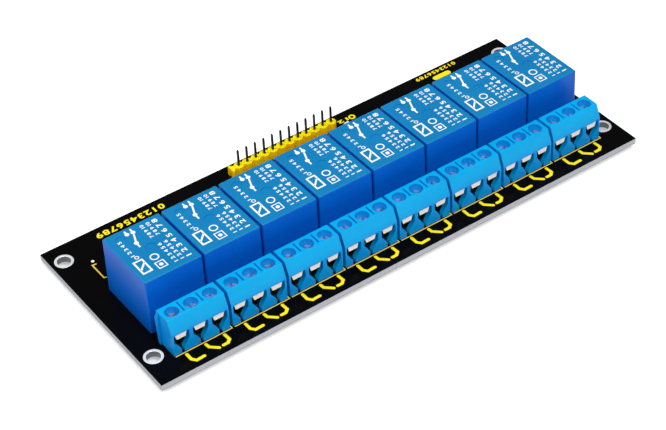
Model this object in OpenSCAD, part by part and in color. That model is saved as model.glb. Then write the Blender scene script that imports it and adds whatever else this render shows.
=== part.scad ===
// Relay module board: eight sealed relays, each with its own three-pole screw terminal,
// on one circuit board with a single-row pin header along the back edge.
// X runs along the board, Y from the terminals to the header, Z up.
// The origin is under the middle of the board, on the plane of the trimmed lead tips.

/* [Board] */
// Depth of the board, from the terminal edge to the header edge
board_w = 54.6; // [49:0.1:70]
// Thickness of the board
board_t = 1.6; // [1.2:0.1:2.4]
// Bare board past the outer relays at each end
end_margin = 6.65; // [6.5:0.05:12]
// Length of the trimmed leads under the board
lead_drop = 1.8; // [1.4:0.1:3]
// Bore of the four mounting holes
hole_d = 3.5; // [3:0.1:3.8]
// Distance of the mounting holes from the ends of the board
hole_end = 3.35; // [3.2:0.05:4]
// Distance of the front mounting holes from the terminal edge
hole_front = 8.8; // [4:0.1:10]
// Distance of the back mounting holes from the header edge
hole_back = 5.6; // [4:0.1:8]
// Width of the tinned ring round each mounting hole
ring_w = 0.6; // [0.3:0.05:0.8]
// Thickness of the tinned ring
ring_t = 0.08; // [0.05:0.01:0.15]

/* [Rows across the board] */
// Distance of the terminal housings from the board's front edge
terminal_inset = 5.9; // [3:0.1:7]
// Distance of the header row from the board's back edge
header_inset = 4.1; // [2:0.1:5]
// Gap between the terminals and the relays, before the rows spread to fill the board
terminal_gap = 3.2; // [1:0.1:4]
// Gap between the relays and the driver parts, before the rows spread to fill the board
driver_gap = 0.8; // [0.5:0.1:1.5]
// Gap between the driver parts and the header, before the rows spread to fill the board
header_gap = 3.23; // [1:0.01:5]

/* [Relays] */
// Width of a relay along the board
relay_w = 15.4; // [15:0.1:18]
// Depth of a relay
relay_d = 19; // [17:0.1:20]
// Height of a relay above the board
relay_h = 15.3; // [12:0.1:22]
// Draft of the relay case, taken off each side at the top
relay_draft = 0.12; // [0.05:0.01:0.3]
// Radius of the relay case's edges
relay_edge = 0.45; // [0.2:0.05:1]
// Wall of the relay case round its base
relay_wall = 0.8; // [0.5:0.1:1.2]
// Thickness of the sealed base under the relay case
relay_base_t = 1.2; // [0.8:0.1:2]
// Gap between one relay and the next
channel_gap = 0.35; // [0.3:0.05:2]
// Width of a relay's square leads
relay_lead = 0.8; // [0.5:0.05:1]

/* [Terminals] */
// Distance from one pole of a terminal to the next
pole_pitch = 5; // [5:0.01:5.08]
// Gap between one terminal housing and the next
housing_gap = 0.75; // [0.7:0.05:0.9]
// Depth of a terminal housing at its foot
terminal_d = 6.2; // [6.2:0.1:8]
// Height of a terminal housing
terminal_h = 9.8; // [9.4:0.1:12]
// Height at which the housing's front starts to lean back
knee_h = 6.3; // [6:0.1:7]
// How far the leaning front goes back
lean = 1.3; // [0.8:0.1:1.4]
// Width of each wire entry
entry_w = 4; // [3.6:0.1:4.2]
// Height of each wire entry
entry_h = 5.8; // [5.4:0.1:6]
// Thickness of the housing's front and back walls
housing_wall = 0.8; // [0.6:0.1:0.9]
// Diameter of the screw wells
well_d = 3.4; // [3.2:0.1:3.8]
// Diameter of a clamping screw's thread
thread_d = 2.4; // [2:0.1:2.6]
// Depth of a screw head below the top of its well
screw_sink = 1.8; // [1:0.1:2.2]
// Width of a terminal contact's square lead
terminal_lead = 1; // [0.8:0.1:1.2]
// How far the interlocking rail stands out of a housing's end
rail_out = 0.6; // [0.3:0.05:0.6]

/* [Pin header] */
// Distance between header pins
pin_pitch = 2.54; // [2:0.01:2.54]
// Width of a square header pin
pin_w = 0.5; // [0.4:0.02:0.7]
// Height of the header's moulded strip
strip_h = 2.54; // [2:0.01:3]
// Height of the pin tips above the board
pin_h = 7.3; // [5:0.1:12]

/* [Driver parts] */
// Height of an optocoupler body above the board
opto_h = 3.6; // [3:0.1:4]

/* [Hidden] */

channels = 8;
poles = 3;
pin_count = 12;
cut = 1; // how far a cutting shape reaches past the face it opens
lap = 0.01; // how far two joined shapes run into each other
fit = 0.1; // play between a terminal's metal and its housing

// driver parts, from the channel's middle and the front of their row
opto_w = 4.6;
opto_d = 6.4;
opto_x = 3.6;
opto_setback = 3.2;
opto_rise = 0.3;
opto_edge = 0.3;
opto_foot = 1.3;
opto_heel = 0.6;
opto_shoulder = 0.35;
opto_lead_h = 1.4;
opto_lead_w = 0.6;
opto_lead_t = 0.3;
opto_lead_pitch = 2.54;
transistor_x = -2.6;
transistor_setback = 2.5;
transistor_w = 2.9;
transistor_d = 1.3;
transistor_h = 1;
transistor_rise = 0.1;
transistor_lead_w = 0.4;
transistor_lead_l = 0.65;
transistor_lead_t = 0.3;
transistor_lead_in = 0.1;
transistor_lead_pitch = 1.9;
diode_x = -0.6;
diode_setback = 5;
diode_l = 3.5;
diode_glass_d = 1.3;
diode_cap_d = 1.5;
diode_cap_l = 0.5;
lamp_x = -3.2;
lamp_l = 2;
lamp_base_t = 0.4;
lens_l = 1.2;
lens_inset = 0.1;
lens_top = 0.8;
power_lamp_at = [2.9, -1.8]; // from the header's end and its row of pins
resistor_x = [2.2, 5];
resistor_l = 2;
resistor_t = 0.5;
resistor_cap_l = 0.35;
resistor_cap_rise = 0.05;
chip_d = 1.25;

// board and rows
relay_pitch = relay_w + channel_gap;
housing_pitch = max(relay_pitch, poles * pole_pitch + rail_out + fit);
terminal_w = housing_pitch - housing_gap;
board_l = channels * housing_pitch + 2 * end_margin;
under = lead_drop;
top = under + board_t;
front = -board_w / 2;
back = board_w / 2;
driver_d = opto_setback + opto_d + opto_foot;
rows_d = terminal_d + relay_d + driver_d + pin_pitch / 2;
spread = (board_w - terminal_inset - header_inset - rows_d)
    / (terminal_gap + driver_gap + header_gap);
terminal_y = front + terminal_inset;
relay_y = terminal_y + terminal_d + terminal_gap * spread;
driver_y = relay_y + relay_d + driver_gap * spread;
opto_y = driver_y + opto_setback;
header_y = back - header_inset;
header_x = -1.6;

// relay leads, from the case's front left corner
lead_side = 1.7;
lead_rows = [2.4, 4.4, 16.6];
relay_leads_at = [
    [relay_w / 2, lead_rows[0]],
    [lead_side, lead_rows[1]], [relay_w - lead_side, lead_rows[1]],
    [lead_side, lead_rows[2]], [relay_w - lead_side, lead_rows[2]]
];
base_inset = 0.3;
case_recess = relay_base_t + base_inset;
vent_d = 2.4;
vent_at = [3.4, 3.2]; // from the case's left and back sides
gate_d = 3;
mark_depth = 0.12;

// terminal insides, from the housing's foot
plate_t = 0.9;
plate_low = entry_h;
cavity_h = plate_low + plate_t;
screw_forward = 0.35;
screw_y = lean + (terminal_d - lean) / 2 - screw_forward;
drive_w = 0.6;
drive_depth = 0.7;
screw_turns = [47, 65]; // turn from one channel and one pole to the next, in degrees
floor_low = 0.6;
floor_t = 0.8;
straight_h = 3.8;
throat_h = 1.3;
throat_w = 0.76;
sill_d = 1.3; // depth of the thicker wall round the throat
contact_front = sill_d + fit;
contact_back = terminal_d - housing_wall - fit;
leaf_t = 0.3;
guard_play = 0.35;
tab_y = 0.35;
tab_h = 1.7;
tab_foot_w = 2.35;
rail_w = 1.2;
rail_root = 0.8;
rail_back = 0.15;
rail_bevel = 1.7;
rail_foot = 0.6; // part of the rail's reach that is left at its foot
groove_depth = 0.35;
slit_w = 0.4;
slit_depth = 0.7;
slit_front = 0.8;
slit_back = 0.7;
edge_break = 0.25;

// header and soldering
strip_corner = 0.75;
bore_play = 0.15;
fillet_h = 1;
fillet_flare = 0.5;
fillet_tip = 0.05;

function relay_x(i) = (i - (channels + 1) / 2) * relay_pitch;
function housing_x(i) = (i - (channels + 1) / 2) * housing_pitch;
function pole_x(p) = (p - (poles + 1) / 2) * pole_pitch;
function pin_x(k) = header_x + (k - (pin_count + 1) / 2) * pin_pitch;
function bore_r(lead) = lead * sqrt(2) / 2 + bore_play;

relay_posts = [for (i = [1:channels], at = relay_leads_at)
    [relay_x(i) - relay_w / 2 + at[0], relay_y + at[1], relay_lead]];
terminal_posts = [for (i = [1:channels], p = [1:poles])
    [housing_x(i) + pole_x(p), terminal_y + screw_y, terminal_lead]];
header_posts = [for (k = [1:pin_count]) [pin_x(k), header_y, pin_w]];
posts = concat(relay_posts, terminal_posts, header_posts);

mount_x = board_l / 2 - hole_end;
mounts = [for (x = [-mount_x, mount_x], y = [front + hole_front, back - hole_back]) [x, y]];

// a box given by its middle along X, its near face, its foot and its size
module slab(x, y, z, w, d, h) {
    translate([x - w / 2, y, z]) cube([w, d, h]);
}

// a side outline of depth and height, drawn out along X about its middle
module along_x(x, y, z, w) {
    translate([x - w / 2, y, z]) rotate([90, 0, 90]) linear_extrude(w) children();
}

// a front outline of width and height, drawn out backwards
module along_y(x, y, z, d) {
    translate([x, y + d, z]) rotate([90, 0, 0]) linear_extrude(d) children();
}

module board() {
    color([0.05, 0.05, 0.06]) difference() {
        translate([-board_l / 2, front, under]) cube([board_l, board_w, board_t]);
        for (m = mounts)
            translate([m[0], m[1], under - cut]) cylinder(d = hole_d, h = board_t + 2 * cut, $fn = 48);
        for (p = posts)
            translate([p[0], p[1], under - cut])
                cylinder(r = bore_r(p[2]), h = board_t + 2 * cut, $fn = 24);
    }
}

// a flat tinned ring on each face of the board at every mounting hole
module hole_rings() {
    color([0.85, 0.86, 0.88]) for (m = mounts, z = [under - ring_t, top])
        translate([m[0], m[1], z]) difference() {
            cylinder(d = hole_d + 2 * ring_w, h = ring_t, $fn = 48);
            translate([0, 0, -cut]) cylinder(d = hole_d, h = ring_t + 2 * cut, $fn = 48);
        }
}

// a drafted case with softened edges, open underneath for its base
module relay_case(i) {
    low = [relay_w / 2 - relay_edge, relay_d / 2 - relay_edge];
    high = [low[0] - relay_draft, low[1] - relay_draft];
    color([0.1, 0.42, 0.78]) translate([relay_x(i), relay_y + relay_d / 2, top]) difference() {
        hull() for (sx = [-1, 1], sy = [-1, 1]) {
            translate([sx * low[0], sy * low[1], 0])
                cylinder(r = relay_edge, h = relay_edge, $fn = 24);
            translate([sx * high[0], sy * high[1], relay_h - relay_edge])
                sphere(r = relay_edge, $fn = 24);
        }
        slab(0, relay_wall - relay_d / 2, -cut, relay_w - 2 * relay_wall,
            relay_d - 2 * relay_wall, case_recess + cut);
        translate([vent_at[0] - relay_w / 2, relay_d / 2 - vent_at[1], relay_h - mark_depth])
            cylinder(d = vent_d, h = cut, $fn = 24);
        translate([0, 0, relay_h - mark_depth]) cylinder(d = gate_d, h = cut, $fn = 24);
    }
}

// the potted base that closes the case, with a passage for each lead
module relay_base(i) {
    color([0.12, 0.13, 0.15]) translate([relay_x(i), relay_y, top + base_inset])
        difference() {
            slab(0, relay_wall, 0, relay_w - 2 * relay_wall, relay_d - 2 * relay_wall, relay_base_t);
            for (at = relay_leads_at)
                slab(at[0] - relay_w / 2, at[1] - relay_lead / 2, -cut, relay_lead, relay_lead,
                    relay_base_t + 2 * cut);
        }
}

module relay_leads() {
    color([0.8, 0.78, 0.74]) for (p = relay_posts)
        slab(p[0], p[1] - p[2] / 2, 0, p[2], p[2], top + case_recess);
}

// wire entry: square above, narrowing through a funnel to a throat at the foot
module entry_outline() {
    polygon([
        [-entry_w / 2, entry_h], [entry_w / 2, entry_h], [entry_w / 2, straight_h],
        [throat_w / 2, throat_h], [throat_w / 2, -cut], [-throat_w / 2, -cut],
        [-throat_w / 2, throat_h], [-entry_w / 2, straight_h]
    ]);
}

// interlocking rail seen from above, with its root on the line x = 0
module rail_plan(out, play) {
    polygon([
        [0, -rail_root / 2 - play], [-out, -rail_w / 2 - play],
        [-out, rail_w / 2 + play], [0, rail_root / 2 + play]
    ]);
}

module housing_outline() {
    polygon([
        [0, 0], [0, knee_h], [lean, terminal_h - edge_break], [lean + edge_break, terminal_h],
        [terminal_d - edge_break, terminal_h], [terminal_d, terminal_h - edge_break],
        [terminal_d, 0]
    ]);
}

module terminal_housing(i) {
    rail_y = terminal_d - rail_back - rail_w / 2;
    color([0.1, 0.62, 0.88]) translate([housing_x(i), terminal_y, top]) difference() {
        union() {
            along_x(0, 0, 0, terminal_w) housing_outline();
            intersection() {
                translate([-terminal_w / 2, rail_y, 0]) linear_extrude(terminal_h)
                    rail_plan(rail_out, 0);
                along_y(-terminal_w / 2, 0, 0, terminal_d) polygon([
                    [0, 0], [0, terminal_h - edge_break],
                    [-rail_out, terminal_h - rail_bevel], [-rail_out * rail_foot, 0]
                ]);
            }
        }
        translate([terminal_w / 2, rail_y, -cut]) linear_extrude(terminal_h - rail_bevel + cut)
            rail_plan(groove_depth, fit);
        for (p = [1:poles]) translate([pole_x(p), 0, 0]) {
            slab(0, sill_d, -cut, entry_w, terminal_d - sill_d - housing_wall, cavity_h + cut);
            slab(0, housing_wall, straight_h, entry_w, sill_d - housing_wall + lap,
                cavity_h - straight_h);
            along_y(0, -cut, 0, sill_d + 2 * cut) entry_outline();
            translate([0, screw_y, cavity_h - lap])
                cylinder(d = well_d, h = terminal_h, $fn = 48);
        }
        for (p = [1:poles - 1])
            slab(pole_x(p) + pole_pitch / 2, lean + slit_front, terminal_h - slit_depth, slit_w,
                terminal_d - lean - slit_front - slit_back, slit_depth + cut);
    }
}

// clamping screw with a cross slot, its head down on the contact's plate
module clamp_screw(turn) {
    head_d = well_d - 2 * fit;
    head_h = terminal_h - screw_sink - cavity_h;
    difference() {
        union() {
            translate([0, 0, cavity_h]) cylinder(d = head_d, h = head_h, $fn = 48);
            translate([0, 0, plate_low]) cylinder(d = thread_d, h = plate_t, $fn = 32);
        }
        for (across = [0, 90]) rotate([0, 0, turn + across])
            slab(0, -head_d, cavity_h + head_h - drive_depth, drive_w, 2 * head_d, cut);
    }
}

module terminal_screws(i) {
    color([0.75, 0.76, 0.78]) for (p = [1:poles])
        translate([housing_x(i) + pole_x(p), terminal_y + screw_y, top])
            clamp_screw(i * screw_turns[0] + p * screw_turns[1]);
}

// bent contact: threaded plate on top, leg behind, floor below and a lead through the board
module terminal_contacts(i) {
    contact_w = entry_w - 2 * fit;
    color([0.8, 0.66, 0.32]) for (p = [1:poles])
        translate([housing_x(i) + pole_x(p), terminal_y, top]) difference() {
            union() {
                slab(0, contact_front, plate_low, contact_w, contact_back - contact_front, plate_t);
                slab(0, contact_back - floor_t, floor_low, contact_w, floor_t, cavity_h - floor_low);
                slab(0, contact_front, floor_low, contact_w, contact_back - contact_front, floor_t);
                slab(0, screw_y - terminal_lead / 2, -top, terminal_lead, terminal_lead,
                    top + floor_low + floor_t / 2);
            }
            translate([0, screw_y, plate_low - cut / 2])
                cylinder(d = thread_d + fit, h = plate_t + cut, $fn = 32);
        }
}

// sprung leaf between screw and wire, with a tapered tab turned down at the entry
module wire_guards(i) {
    guard_w = entry_w - 2 * guard_play;
    color([0.93, 0.9, 0.86]) for (p = [1:poles])
        translate([housing_x(i) + pole_x(p), terminal_y, top]) {
            slab(0, tab_y, plate_low - leaf_t, guard_w, contact_back - floor_t - fit - tab_y, leaf_t);
            along_y(0, tab_y, 0, leaf_t) polygon([
                [-tab_foot_w / 2, plate_low - tab_h], [tab_foot_w / 2, plate_low - tab_h],
                [guard_w / 2, plate_low], [-guard_w / 2, plate_low]
            ]);
        }
}

// moulded strip of eight-sided cells, broken off half way through a spare cell at the left
module header_strip() {
    half = pin_pitch / 2;
    near = strip_corner - half;
    front_edge = concat(
        [[pin_x(0), -half], [pin_x(0) - near, -half]],
        [for (k = [1:pin_count], at = [[-half, near], [near, -half], [-near, -half]])
            [pin_x(k) + at[0], at[1]]],
        [[pin_x(pin_count) + half, near]]);
    back_edge = [for (n = [len(front_edge) - 1:-1:0]) [front_edge[n][0], -front_edge[n][1]]];
    color([1, 0.85, 0.05]) difference() {
        translate([0, header_y, top]) linear_extrude(strip_h) polygon(concat(front_edge, back_edge));
        for (k = [0:pin_count])
            slab(pin_x(k), header_y - pin_w / 2, top - cut, pin_w, pin_w, strip_h + 2 * cut);
    }
}

// square pin seen from the side, tapered at both tips
module pin_outline() {
    polygon([
        [-pin_w / 4, 0], [pin_w / 4, 0], [pin_w / 2, pin_w], [pin_w / 2, top + pin_h - pin_w],
        [pin_w / 4, top + pin_h], [-pin_w / 4, top + pin_h],
        [-pin_w / 2, top + pin_h - pin_w], [-pin_w / 2, pin_w]
    ]);
}

module header_pins() {
    color([0.12, 0.12, 0.12]) for (p = header_posts) intersection() {
        along_x(p[0], p[1], 0, pin_w) pin_outline();
        along_y(p[0], p[1] - pin_w / 2, 0, pin_w) pin_outline();
    }
}

// driver parts of one channel, placed from the channel's middle and the row's front
module optocouplers() {
    body_h = opto_h - opto_rise;
    color([0.93, 0.93, 0.9]) for (i = [1:channels])
        along_y(relay_x(i) + opto_x, opto_y, top + opto_rise, opto_d) polygon([
            [-opto_w / 2, 0], [opto_w / 2, 0], [opto_w / 2, body_h - opto_edge],
            [opto_w / 2 - opto_edge, body_h], [opto_edge - opto_w / 2, body_h],
            [-opto_w / 2, body_h - opto_edge]
        ]);
}

// four gull-wing leads on each optocoupler, two before it and two behind
module optocoupler_leads() {
    color([0.8, 0.8, 0.8]) for (i = [1:channels], side = [-1, 1], end = [0, 1])
        translate([relay_x(i) + opto_x + side * opto_lead_pitch / 2, opto_y + end * opto_d, top])
            mirror([0, 1 - end, 0]) along_x(0, 0, 0, opto_lead_w) polygon([
                [0, opto_lead_h], [opto_shoulder + opto_lead_t, opto_lead_h],
                [opto_heel + opto_lead_t, opto_lead_t], [opto_foot, opto_lead_t],
                [opto_foot, 0], [opto_heel, 0], [opto_shoulder, opto_lead_h - opto_lead_t],
                [0, opto_lead_h - opto_lead_t]
            ]);
}

// transistors with two leads before the body and one behind
module transistors() {
    lead_y = transistor_lead_in - transistor_lead_l;
    color([0.15, 0.15, 0.16]) for (i = [1:channels])
        translate([relay_x(i) + transistor_x, driver_y + transistor_setback, top]) {
            slab(0, 0, transistor_rise, transistor_w, transistor_d, transistor_h);
            for (side = [-1, 1])
                slab(side * transistor_lead_pitch / 2, lead_y, 0, transistor_lead_w,
                    transistor_lead_l, transistor_lead_t);
            slab(0, transistor_d - transistor_lead_in, 0, transistor_lead_w, transistor_lead_l,
                transistor_lead_t);
        }
}

// glass clamp diodes with metal end caps, lying across the board
module clamp_diodes() {
    color([0.75, 0.45, 0.3]) for (i = [1:channels])
        translate([relay_x(i) + diode_x, driver_y + diode_setback, top + diode_cap_d / 2])
            rotate([-90, 0, 0]) {
                cylinder(d = diode_glass_d, h = diode_l, $fn = 32);
                for (y = [0, diode_l - diode_cap_l])
                    translate([0, 0, y]) cylinder(d = diode_cap_d, h = diode_cap_l, $fn = 32);
            }
}

// chip lamp: flat base with a smaller lens on it
module chip_lamp() {
    slab(0, 0, 0, lamp_l, chip_d, lamp_base_t);
    slab(0, lens_inset, lamp_base_t - lens_inset, lens_l, chip_d - 2 * lens_inset,
        lens_top - lamp_base_t + lens_inset);
}

// a lamp to each channel and one beside the header for the supply
module indicator_lamps() {
    header_end = pin_x(pin_count) + pin_pitch / 2;
    color([0.85, 0.2, 0.15]) {
        for (i = [1:channels]) translate([relay_x(i) + lamp_x, driver_y, top]) chip_lamp();
        translate([header_end + power_lamp_at[0], header_y + power_lamp_at[1], top]) chip_lamp();
    }
}

// two chip resistors to a channel
module chip_resistors() {
    cap_x = (resistor_l - resistor_cap_l) / 2;
    color([0.2, 0.2, 0.22]) for (i = [1:channels], x = resistor_x)
        translate([relay_x(i) + x, driver_y, top]) {
            slab(0, 0, 0, resistor_l - 2 * resistor_cap_l, chip_d, resistor_t);
            for (side = [-1, 1])
                slab(side * cap_x, 0, 0, resistor_cap_l, chip_d, resistor_t + resistor_cap_rise);
        }
}

// solder fills each lead's bore and rises to a cone under the board
module solder_joints() {
    color([0.75, 0.76, 0.78]) for (p = posts) translate([p[0], p[1], 0]) difference() {
        union() {
            translate([0, 0, under - fillet_h])
                cylinder(r1 = bore_r(p[2]) - fillet_tip, r2 = bore_r(p[2]) + fillet_flare,
                    h = fillet_h, $fn = 24);
            translate([0, 0, under - lap]) cylinder(r = bore_r(p[2]), h = board_t + lap, $fn = 24);
        }
        slab(0, -p[2] / 2, -cut, p[2], p[2], top + 2 * cut);
    }
}

board();
hole_rings();
relay_case(1);  // relay_case_1
relay_case(2);  // relay_case_2
relay_case(3);  // relay_case_3
relay_case(4);  // relay_case_4
relay_case(5);  // relay_case_5
relay_case(6);  // relay_case_6
relay_case(7);  // relay_case_7
relay_case(8);  // relay_case_8
relay_base(1);  // relay_base_1
relay_base(2);  // relay_base_2
relay_base(3);  // relay_base_3
relay_base(4);  // relay_base_4
relay_base(5);  // relay_base_5
relay_base(6);  // relay_base_6
relay_base(7);  // relay_base_7
relay_base(8);  // relay_base_8
relay_leads();
terminal_housing(1);  // terminal_housing_1
terminal_housing(2);  // terminal_housing_2
terminal_housing(3);  // terminal_housing_3
terminal_housing(4);  // terminal_housing_4
terminal_housing(5);  // terminal_housing_5
terminal_housing(6);  // terminal_housing_6
terminal_housing(7);  // terminal_housing_7
terminal_housing(8);  // terminal_housing_8
terminal_screws(1);  // terminal_screws_1
terminal_screws(2);  // terminal_screws_2
terminal_screws(3);  // terminal_screws_3
terminal_screws(4);  // terminal_screws_4
terminal_screws(5);  // terminal_screws_5
terminal_screws(6);  // terminal_screws_6
terminal_screws(7);  // terminal_screws_7
terminal_screws(8);  // terminal_screws_8
terminal_contacts(1);  // terminal_contacts_1
terminal_contacts(2);  // terminal_contacts_2
terminal_contacts(3);  // terminal_contacts_3
terminal_contacts(4);  // terminal_contacts_4
terminal_contacts(5);  // terminal_contacts_5
terminal_contacts(6);  // terminal_contacts_6
terminal_contacts(7);  // terminal_contacts_7
terminal_contacts(8);  // terminal_contacts_8
wire_guards(1);  // wire_guards_1
wire_guards(2);  // wire_guards_2
wire_guards(3);  // wire_guards_3
wire_guards(4);  // wire_guards_4
wire_guards(5);  // wire_guards_5
wire_guards(6);  // wire_guards_6
wire_guards(7);  // wire_guards_7
wire_guards(8);  // wire_guards_8
header_strip();
header_pins();
optocouplers();
optocoupler_leads();
transistors();
clamp_diodes();
indicator_lamps();
chip_resistors();
solder_joints();
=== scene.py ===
import math

import bmesh
import bpy
from mathutils import Matrix, Vector


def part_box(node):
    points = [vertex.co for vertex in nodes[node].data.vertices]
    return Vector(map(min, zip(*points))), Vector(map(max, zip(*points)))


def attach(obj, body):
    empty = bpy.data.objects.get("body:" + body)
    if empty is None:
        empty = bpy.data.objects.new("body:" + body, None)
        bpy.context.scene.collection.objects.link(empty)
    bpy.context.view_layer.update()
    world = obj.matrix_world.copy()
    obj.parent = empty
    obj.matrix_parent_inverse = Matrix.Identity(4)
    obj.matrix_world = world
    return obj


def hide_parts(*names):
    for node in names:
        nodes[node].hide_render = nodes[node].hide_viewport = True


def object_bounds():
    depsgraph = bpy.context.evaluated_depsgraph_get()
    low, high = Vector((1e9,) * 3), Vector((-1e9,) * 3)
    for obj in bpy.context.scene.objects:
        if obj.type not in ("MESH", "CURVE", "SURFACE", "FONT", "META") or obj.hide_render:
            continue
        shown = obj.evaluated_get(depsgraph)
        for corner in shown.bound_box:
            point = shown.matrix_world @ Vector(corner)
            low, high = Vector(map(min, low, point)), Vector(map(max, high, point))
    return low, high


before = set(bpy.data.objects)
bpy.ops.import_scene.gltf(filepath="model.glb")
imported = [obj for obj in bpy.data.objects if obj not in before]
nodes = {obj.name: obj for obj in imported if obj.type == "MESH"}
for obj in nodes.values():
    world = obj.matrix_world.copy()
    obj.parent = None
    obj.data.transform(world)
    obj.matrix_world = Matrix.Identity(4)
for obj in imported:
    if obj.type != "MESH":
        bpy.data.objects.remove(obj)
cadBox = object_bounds()
mm = 0.001  # shapes are modelled in millimetres and brought to metres at the end
channelCount = 8


def nodeBox(name):
    low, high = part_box(name)
    return low / mm, high / mm


def channelNodes(kind):
    return [f"{kind}_{i + 1}" for i in range(channelCount)]


boardLow, boardHigh = nodeBox("board")
boardTop = boardHigh.z
relayBoxes = [nodeBox(name) for name in channelNodes("relay_case")]
relayMiddle = (relayBoxes[0][0].y + relayBoxes[0][1].y) / 2
housingBoxes = [nodeBox(name) for name in channelNodes("terminal_housing")]
stripFront = nodeBox("header_strip")[0].y
channelAt = [(low.x + high.x) / 2 for low, high in relayBoxes]


# Mesh helpers

# distances in millimetres and angles in degrees
meshing = {"merge": 0.001, "spinMerge": 0.0005, "textMerge": 0.0001, "flatAngle": 1, "sharpAngle": 35,
           "doubledPoint": 0.01, "mitreFloor": 0.3, "endSteps": 6, "discSteps": 20, "textSteps": 3,
           "textDepth": 0.5}


def joinTo(bm, made):  # moves a shape that was made on its own into a piece
    mesh = bpy.data.meshes.new("part")
    made.to_mesh(mesh)
    made.free()
    bm.from_mesh(mesh)
    bpy.data.meshes.remove(mesh)


def mergeFlat(bm, distance):
    bmesh.ops.remove_doubles(bm, verts=bm.verts, dist=distance)
    bmesh.ops.dissolve_limit(bm, angle_limit=math.radians(meshing["flatAngle"]), verts=bm.verts,
                             edges=bm.edges)


def copyOfNode(name):
    bm = bmesh.new()
    bm.from_mesh(nodes[name].data)
    bmesh.ops.scale(bm, vec=(1 / mm,) * 3, verts=bm.verts)
    mergeFlat(bm, meshing["merge"])
    return bm


def boxOf(verts):
    reach = [[vert.co[axis] for vert in verts] for axis in range(3)]
    return Vector([min(values) for values in reach]), Vector([max(values) for values in reach])


def islandBoxes(name):  # the box of each loose part of a node, from left to right
    bm = copyOfNode(name)
    left = set(bm.verts)
    boxes = []
    while left:
        grown = set()
        front = [next(iter(left))]
        while front:
            vert = front.pop()
            if vert not in grown:
                grown.add(vert)
                front += [edge.other_vert(vert) for edge in vert.link_edges]
        left -= grown
        boxes.append(boxOf(grown))
    bm.free()
    return sorted(boxes, key=lambda box: (round(box[0].x, 2), round(box[0].y, 2)))


def sharpEdges(bm):
    limit = math.radians(meshing["sharpAngle"])
    return [edge for edge in bm.edges if edge.calc_face_angle(0) > limit]


def soften(bm, edges, width, segments=2):
    bmesh.ops.bevel(bm, geom=edges, offset=width, offset_type="OFFSET", affect="EDGES",
                    segments=segments, profile=0.5, material=-1, clamp_overlap=True)


def addSoftBox(bm, low, high, width, segments=2):
    low, high = Vector(low), Vector(high)
    made = bmesh.new()
    bmesh.ops.create_cube(made, size=1)
    bmesh.ops.scale(made, vec=high - low, verts=made.verts)
    bmesh.ops.translate(made, vec=(low + high) / 2, verts=made.verts)
    soften(made, list(made.edges), width, segments)
    joinTo(bm, made)


def addLathe(bm, profile, centre, steps, closed=False, axis=(0, 0, 1)):
    made = bmesh.new()
    verts = [made.verts.new((radius, 0, height)) for radius, height in profile]
    pairs = list(zip(verts, verts[1:])) + ([(verts[-1], verts[0])] if closed else [])
    edges = [made.edges.new(pair) for pair in pairs]
    bmesh.ops.spin(made, geom=verts + edges, cent=(0, 0, 0), axis=(0, 0, 1), angle=2 * math.pi,
                   steps=steps, use_merge=True)
    bmesh.ops.remove_doubles(made, verts=made.verts, dist=meshing["spinMerge"])
    turn = Vector((0, 0, 1)).rotation_difference(Vector(axis)).to_matrix()
    bmesh.ops.rotate(made, cent=(0, 0, 0), matrix=turn, verts=made.verts)
    bmesh.ops.translate(made, vec=centre, verts=made.verts)
    bmesh.ops.recalc_face_normals(made, faces=made.faces)
    joinTo(bm, made)


def ribbonRails(path, closed, half):  # mitred left and right edges, and the sideways line of each run
    runs = [(b - a).normalized() for a, b in zip(path, path[1:] + path[:1])]
    sides = [Vector((-run.y, run.x)) for run in runs]
    left, right = [], []
    for index, point in enumerate(path):
        before, after = sides[index - 1], sides[index]
        if not closed:
            before = sides[0] if index == 0 else before
            after = before if index == len(path) - 1 else after
        mitre = (before + after).normalized()
        reach = half / max(mitre.dot(after), meshing["mitreFloor"])
        left.append(point + mitre * reach)
        right.append(point - mitre * reach)
    return left, right, sides


def addStroke(bm, points, width, low, thickness):
    # one flat ribbon: mitred corners, round ends, or a closed loop when the ends meet
    path = []
    for point in points:
        if not path or (Vector(point) - path[-1]).length > meshing["doubledPoint"]:
            path.append(Vector(point))
    closed = (path[0] - path[-1]).length < meshing["merge"]
    if closed:
        path.pop()
    half, steps = width / 2, meshing["endSteps"]
    left, right, sides = ribbonRails(path, closed, half)
    made = bmesh.new()
    if closed:
        outer, inner = ([made.verts.new((*point, low)) for point in rail] for rail in (left, right))
        for index in range(len(path)):
            after = (index + 1) % len(path)
            made.faces.new([outer[index], outer[after], inner[after], inner[index]])
    else:
        outline = []
        for rail, end, side in ((left, path[-1], sides[len(path) - 2]),
                                (right[::-1], path[0], -sides[0])):
            outline += rail
            for step in range(1, steps):
                turn = Matrix.Rotation(-math.pi * step / steps, 2)
                outline.append(end + turn @ side * half)
        made.faces.new([made.verts.new((*point, low)) for point in outline])
    grown = bmesh.ops.extrude_face_region(made, geom=list(made.faces))["geom"]
    raised = [item for item in grown if isinstance(item, bmesh.types.BMVert)]
    bmesh.ops.translate(made, vec=(0, 0, thickness), verts=raised)
    bmesh.ops.recalc_face_normals(made, faces=made.faces)
    joinTo(bm, made)


def addDisc(bm, centre, radius, low, thickness):
    high = low + thickness
    addLathe(bm, [(0, low), (radius, low), (radius, high), (0, high)], (*centre, 0),
             meshing["discSteps"])


def addRing(bm, centre, radius, width, low, thickness, steps=28):
    high = low + thickness
    inner, outer = radius - width / 2, radius + width / 2
    addLathe(bm, [(inner, low), (outer, low), (outer, high), (inner, high)], (*centre, 0), steps,
             closed=True)


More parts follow.
